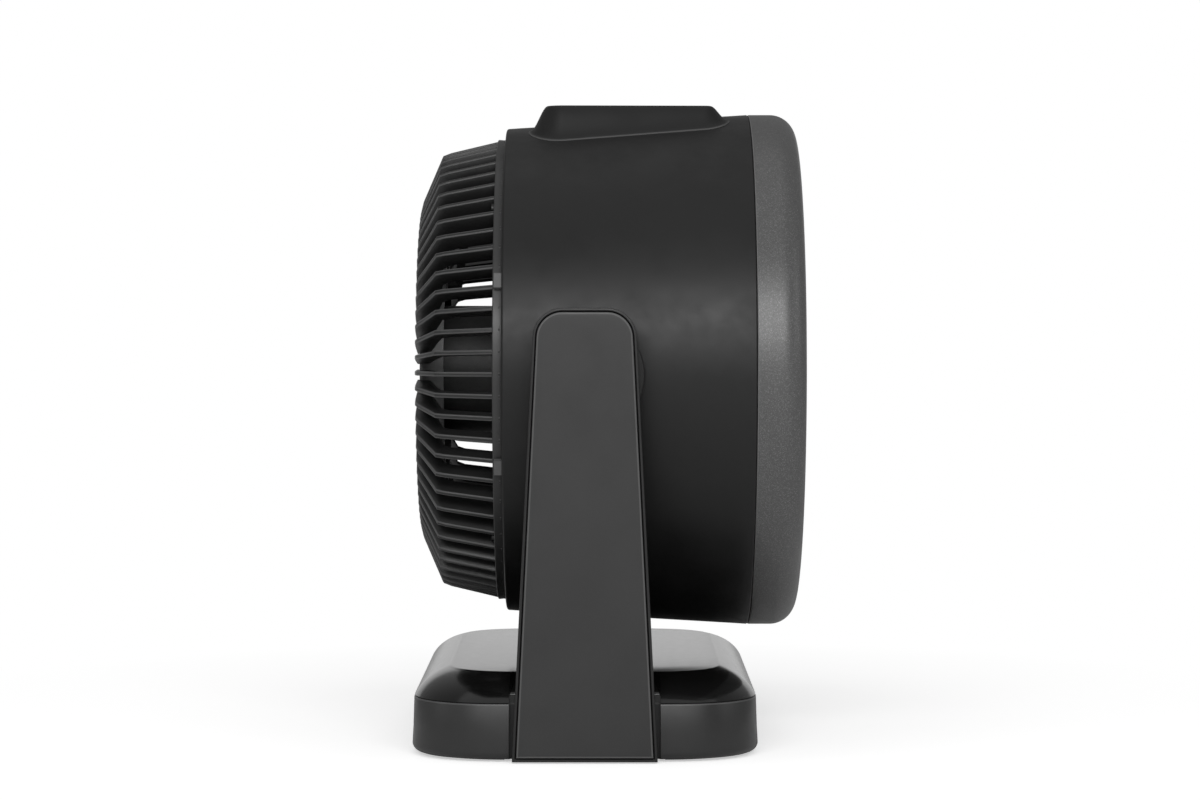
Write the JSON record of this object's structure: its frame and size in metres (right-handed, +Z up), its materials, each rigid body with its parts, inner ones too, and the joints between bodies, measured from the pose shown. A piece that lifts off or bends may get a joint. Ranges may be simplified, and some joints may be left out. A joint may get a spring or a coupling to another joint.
{
  "type": "air circulator fan",
  "caption": "Drum-shaped air circulator fan whose head tilts between the two arms of a fork stand on a wide low base.",
  "frame": {"origin": "on the floor, below the middle of the fan's depth and width", "axes": "+Z up, -Y is the front that the air leaves by, X along the tilt axis, -X is the left side seen from the front"},
  "size_m": [0.39, 0.256, 0.426],
  "materials": {
    "bezel_paint": "dark grey paint with a fine metallic fleck, satin",
    "grille_plastic": "black moulded plastic, fine texture",
    "drum_plastic": "satin black moulded plastic, fine spark-eroded texture",
    "arm_plastic": "satin black moulded plastic",
    "cover_plastic": "satin charcoal moulded plastic",
    "base_plastic": "satin black moulded plastic",
    "base_gloss": "polished black plastic",
    "cap_plastic": "polished black plastic",
    "window_plastic": "smoked window",
    "button_plastic": "satin plastic keys",
    "impeller_plastic": "black moulded plastic",
    "tray_plastic": "grey moulded plastic",
    "board_laminate": "green lacquered circuit board",
    "motor_cast": "die-cast, fine grain",
    "motor_iron": "stacked steel laminations",
    "winding_copper": "enamelled copper wire",
    "steel": "zinc-plated steel",
    "rubber": "black rubber"
  },
  "bodies": {
    "stand": {"arm_left": "arm_plastic", "arm_right": "arm_plastic", "arm_cover_left": "cover_plastic", "arm_cover_right": "cover_plastic", "friction_discs": "rubber", "arm_screws": "steel", "base_shell": "base_plastic", "base_top": "base_gloss", "base_plate": "base_plastic", "counterweights": "motor_iron", "rubber_feet": "rubber", "base_screws": "steel", "cord_gland": "rubber", "stand_lead": "rubber"},
    "head": {"front_bezel": "bezel_paint", "front_grille": "grille_plastic", "front_cap": "cap_plastic", "drum_housing": "drum_plastic", "rear_grille": "grille_plastic", "rear_cap": "grille_plastic", "motor_rear_bell": "motor_cast", "motor_front_bell": "motor_cast", "stator_core": "motor_iron", "stator_windings": "winding_copper", "motor_bearings": "steel", "motor_bolts": "steel", "run_capacitor": "tray_plastic", "bezel_screws": "steel", "grille_screws": "steel", "grille_latches": "grille_plastic", "control_pod": "drum_plastic", "control_panel": "cap_plastic", "control_tray": "tray_plastic", "control_board": "board_laminate", "button_switches": "tray_plastic", "indicator_window": "window_plastic", "pod_screws": "steel", "pivot_bolts": "steel", "head_lead": "rubber"},
    "rotor": {"impeller_hub": "impeller_plastic", "impeller_blades": "impeller_plastic", "impeller_nut": "impeller_plastic", "drive_pin": "steel", "motor_shaft": "steel", "rotor_core": "motor_iron"},
    "power": {"power_button": "button_plastic"},
    "speed": {"speed_button": "button_plastic"},
    "timer": {"timer_button": "button_plastic"},
    "mode": {"mode_button": "button_plastic"}
  },
  "joints": [
    {"name": "head_tilt", "type": "hinge", "parent": "stand", "child": "head", "pos_m": [0, 0.01325, 0.247], "axis": [-1, 0, 0], "range_deg": [-5, 90]},
    {"name": "impeller_spin", "type": "hinge", "parent": "head", "child": "rotor", "pos_m": [0, 0.01525, 0.247], "axis": [0, -1, 0], "continuous": true},
    {"name": "power_press", "type": "slide", "parent": "head", "child": "power", "axis": [0, 0, -1], "range_m": [0, 0.001], "stiffness_N_per_m": 600, "springref_m": -0.0008},
    {"name": "speed_press", "type": "slide", "parent": "head", "child": "speed", "axis": [0, 0, -1], "range_m": [0, 0.001], "stiffness_N_per_m": 600, "springref_m": -0.0008},
    {"name": "timer_press", "type": "slide", "parent": "head", "child": "timer", "axis": [0, 0, -1], "range_m": [0, 0.001], "stiffness_N_per_m": 600, "springref_m": -0.0008},
    {"name": "mode_press", "type": "slide", "parent": "head", "child": "mode", "axis": [0, 0, -1], "range_m": [0, 0.001], "stiffness_N_per_m": 600, "springref_m": -0.0008}
  ]
}
